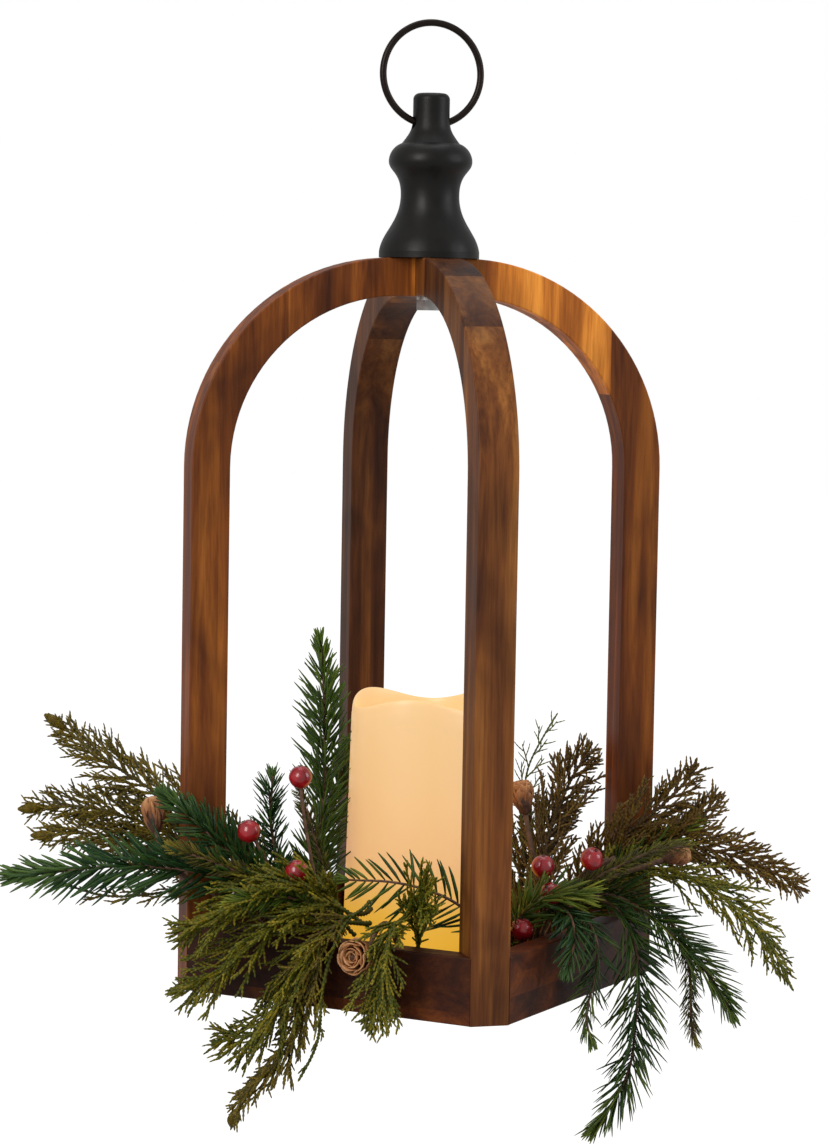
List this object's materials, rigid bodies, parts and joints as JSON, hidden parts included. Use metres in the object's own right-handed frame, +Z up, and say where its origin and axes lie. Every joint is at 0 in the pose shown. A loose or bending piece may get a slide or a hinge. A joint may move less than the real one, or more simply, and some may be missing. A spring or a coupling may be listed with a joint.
{
  "type": "hanging candle lantern",
  "caption": "Open timber lantern of crossed arches on a square tray, hung by a ring through a turned finial, with a battery candle and evergreen swags.",
  "frame": {"origin": "the hook seat, inside the top of the hanging ring", "axes": "+Z up along the lantern, X in the plane of the left-right arch and of the ring, -Y the front post"},
  "size_m": [0.3773, 0.2332, 0.5206],
  "materials": {
    "torched_pine": "torched and oiled, satin",
    "tray_plywood": "raw, oiled",
    "nail_steel": "zinc plated",
    "black_satin": "satin black paint",
    "black_steel": "black oxide, satin",
    "insert_brass": "turned",
    "ivory_wax": "smooth wax, lit from inside",
    "ivory_plastic": "moulded",
    "switch_black": "moulded",
    "cell_steel": "bright",
    "circuit_green": "solder mask",
    "led_warm": "clear dome, lit",
    "stem_tape": "florist tape and paper",
    "berry_red": "lacquered",
    "cone_brown": "dry cone scales",
    "cedar_olive": "moulded",
    "juniper_green": "moulded",
    "spruce_brush": "twisted-wire bristle",
    "fir_green": "moulded"
  },
  "bodies": {
    "ring": {"hanging_ring": "black_steel"},
    "lantern": {"arch_front_back": "torched_pine", "arch_left_right": "torched_pine", "berries_left": "berry_red", "berries_right": "berry_red", "berry_twig": "stem_tape", "brads": "nail_steel", "brush_curved_right": "spruce_brush", "brush_hanging_right": "spruce_brush", "brush_sprig_rail": "spruce_brush", "brush_sprig_tall": "spruce_brush", "brush_sprig_upright": "spruce_brush", "cedar_curl_left": "cedar_olive", "cedar_drooping_right": "cedar_olive", "cedar_hanging_left": "cedar_olive", "cedar_hanging_thin": "cedar_olive", "cedar_spray_left": "cedar_olive", "cedar_sprays_back": "cedar_olive", "cedar_sprays_cone": "cedar_olive", "cedar_sprays_rail": "cedar_olive", "cedar_sprays_right": "cedar_olive", "cone_back": "cone_brown", "cone_front": "cone_brown", "cone_left": "cone_brown", "cone_right": "cone_brown", "finial": "black_satin", "finial_cap": "black_satin", "fir_hanging_long": "fir_green", "fir_hanging_side": "fir_green", "fir_hanging_small": "fir_green", "fir_over_rail": "fir_green", "fir_sprig_candle": "fir_green", "fir_sprig_left": "fir_green", "fir_sprig_post": "fir_green", "fir_sprig_right": "fir_green", "fir_tip_front": "fir_green", "hub_bolt": "nail_steel", "hub_washer": "nail_steel", "juniper_sprig": "juniper_green", "pine_sprigs_candle": "fir_green", "rail_back_left": "torched_pine", "rail_back_right": "torched_pine", "rail_front_left": "torched_pine", "rail_front_right": "torched_pine", "spruce_tip_rail": "spruce_brush", "swag_core_left": "stem_tape", "swag_core_right": "stem_tape", "threaded_insert": "insert_brass", "tray_floor": "tray_plywood"},
    "candle": {"candle_wax": "ivory_wax", "candle_base": "ivory_plastic", "led_board": "circuit_green", "led_bulb": "led_warm", "board_screws": "nail_steel", "coin_cells": "cell_steel", "battery_contacts": "cell_steel", "switch_body": "switch_black"},
    "battery_cover": {"battery_cover": "ivory_plastic"},
    "switch_slider": {"switch_slider": "switch_black"}
  },
  "joints": [
    {"name": "lantern_swing", "type": "hinge", "parent": "ring", "child": "lantern", "pos_m": [0, 0, -0.04593], "axis": [1, 0, 0], "range_deg": [-140, 140]},
    {"name": "candle_lift", "type": "slide", "parent": "lantern", "child": "candle", "axis": [0, 0, 1], "range_m": [0, 0.18]},
    {"name": "cover_twist", "type": "hinge", "parent": "candle", "child": "battery_cover", "pos_m": [0, 0, -0.45393], "axis": [0, 0, 1], "range_deg": [0, 30]},
    {"name": "switch_slide", "type": "slide", "parent": "candle", "child": "switch_slider", "axis": [1, 0, 0], "range_m": [0, 0.003]}
  ]
}
